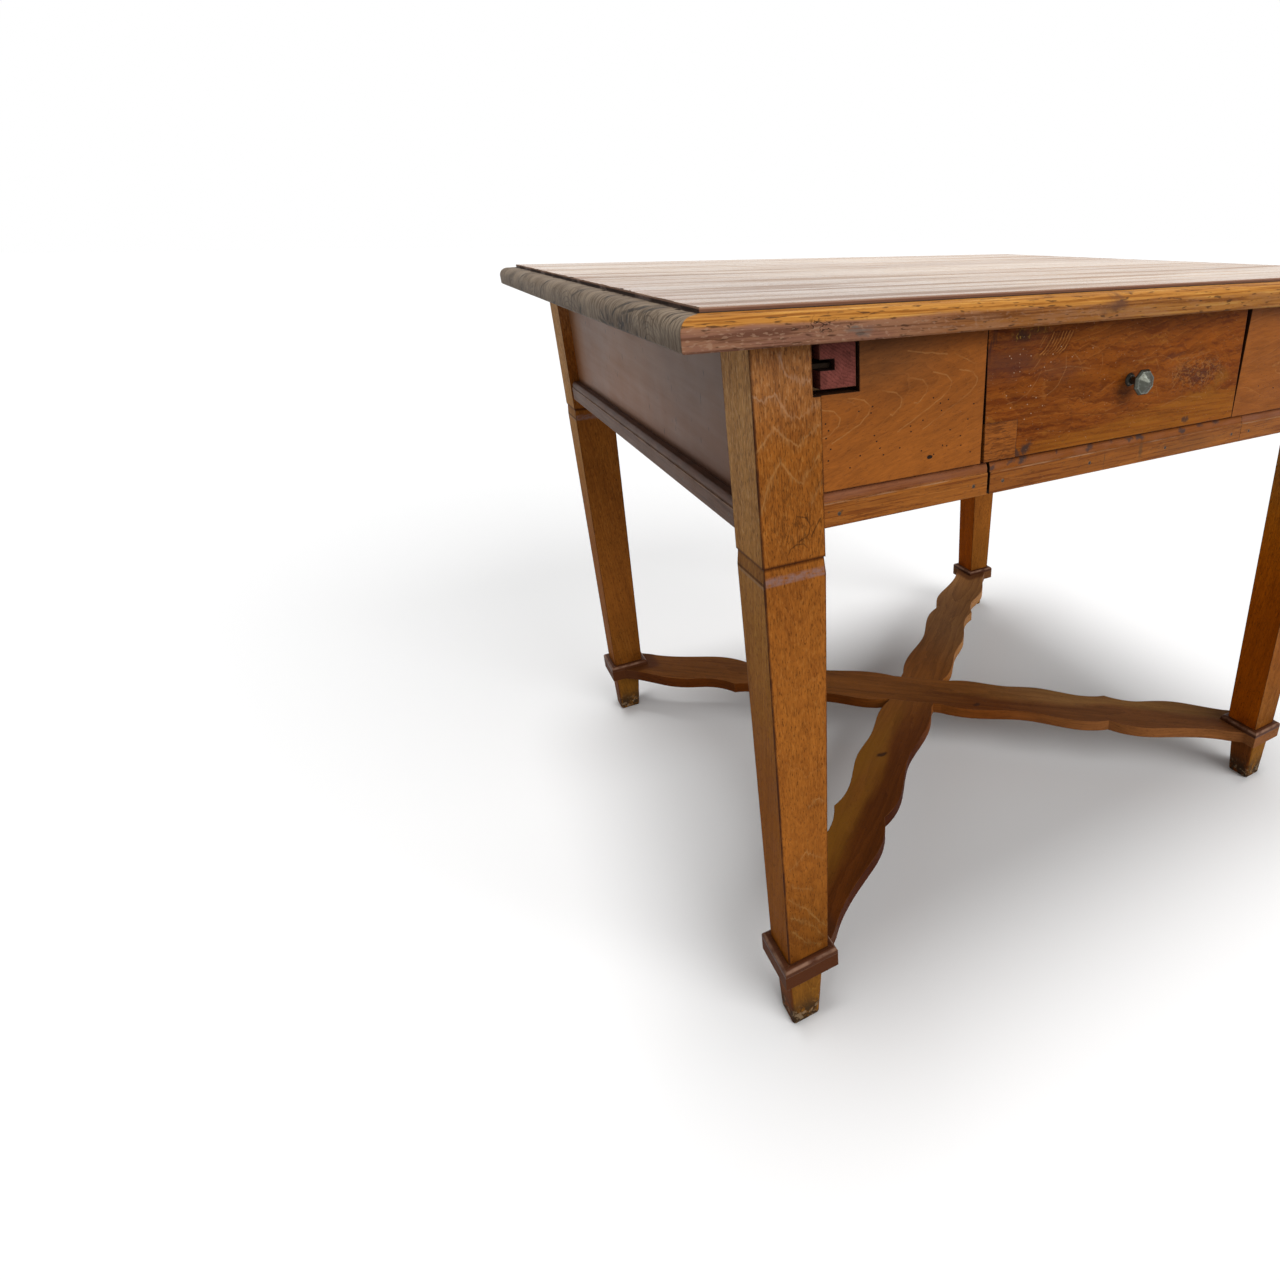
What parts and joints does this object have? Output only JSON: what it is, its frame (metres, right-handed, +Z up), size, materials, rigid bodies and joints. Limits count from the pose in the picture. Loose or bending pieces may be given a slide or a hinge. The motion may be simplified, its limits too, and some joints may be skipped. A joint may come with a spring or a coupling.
{
  "type": "tavern table",
  "caption": "Old wooden tavern table: sliding thumb-moulded top on grooved battens, off-centre drawer with a faceted knob, tapered square legs and a wavy crossed stretcher.",
  "frame": {"origin": "on the floor under the middle of the table", "axes": "+X to the right along the drawer side, +Y to the back, +Z up"},
  "size_m": [0.975, 0.828, 0.7725],
  "materials": {
    "top_wood": "worn wax",
    "frame_wood": "stained and waxed",
    "front_wood": "stained and waxed",
    "stretcher_wood": "stained and waxed",
    "inner_wood": "bare",
    "knob_metal": "worn, dark",
    "iron": "old iron"
  },
  "bodies": {
    "frame": {"leg_front_left": "frame_wood", "foot_front_left": "frame_wood", "ankle_bead_front_left": "stretcher_wood", "leg_front_right": "frame_wood", "foot_front_right": "frame_wood", "ankle_bead_front_right": "stretcher_wood", "leg_back_left": "frame_wood", "foot_back_left": "frame_wood", "ankle_bead_back_left": "stretcher_wood", "leg_back_right": "frame_wood", "foot_back_right": "frame_wood", "ankle_bead_back_right": "stretcher_wood", "stretcher_plank_upper": "stretcher_wood", "stretcher_plank_lower": "stretcher_wood", "front_moulding_left": "frame_wood", "front_moulding_middle": "frame_wood", "front_moulding_right": "frame_wood", "front_rail": "inner_wood", "front_panel_left": "frame_wood", "front_panel_right": "frame_wood", "back_rail": "inner_wood", "back_panel": "frame_wood", "back_moulding": "frame_wood", "end_panel_left": "frame_wood", "end_panel_right": "frame_wood", "end_moulding_left": "frame_wood", "end_moulding_right": "frame_wood", "moulding_nails": "iron", "drawer_runner_left": "inner_wood", "drawer_runner_right": "inner_wood", "drawer_guide_left": "inner_wood", "drawer_guide_right": "inner_wood", "guide_nails": "iron", "top_tongue_left": "inner_wood", "top_tongue_right": "inner_wood"},
    "top": {"top_board_1": "top_wood", "top_board_2": "top_wood", "top_board_3": "top_wood", "top_board_4": "top_wood", "top_batten_left": "inner_wood", "top_batten_right": "inner_wood", "batten_screws": "iron"},
    "drawer": {"drawer_front": "front_wood", "drawer_patch": "front_wood", "drawer_side_left": "inner_wood", "drawer_side_right": "inner_wood", "drawer_back": "inner_wood", "drawer_bottom": "inner_wood", "drawer_nails": "iron", "knob": "knob_metal", "knob_rose": "knob_metal", "knob_nut": "iron"}
  },
  "joints": [
    {"name": "drawer_slide", "type": "slide", "parent": "frame", "child": "drawer", "axis": [0, -1, 0], "range_m": [0, 0.4]},
    {"name": "top_slide", "type": "slide", "parent": "frame", "child": "top", "axis": [0, -1, 0], "range_m": [0, 0.4]}
  ]
}
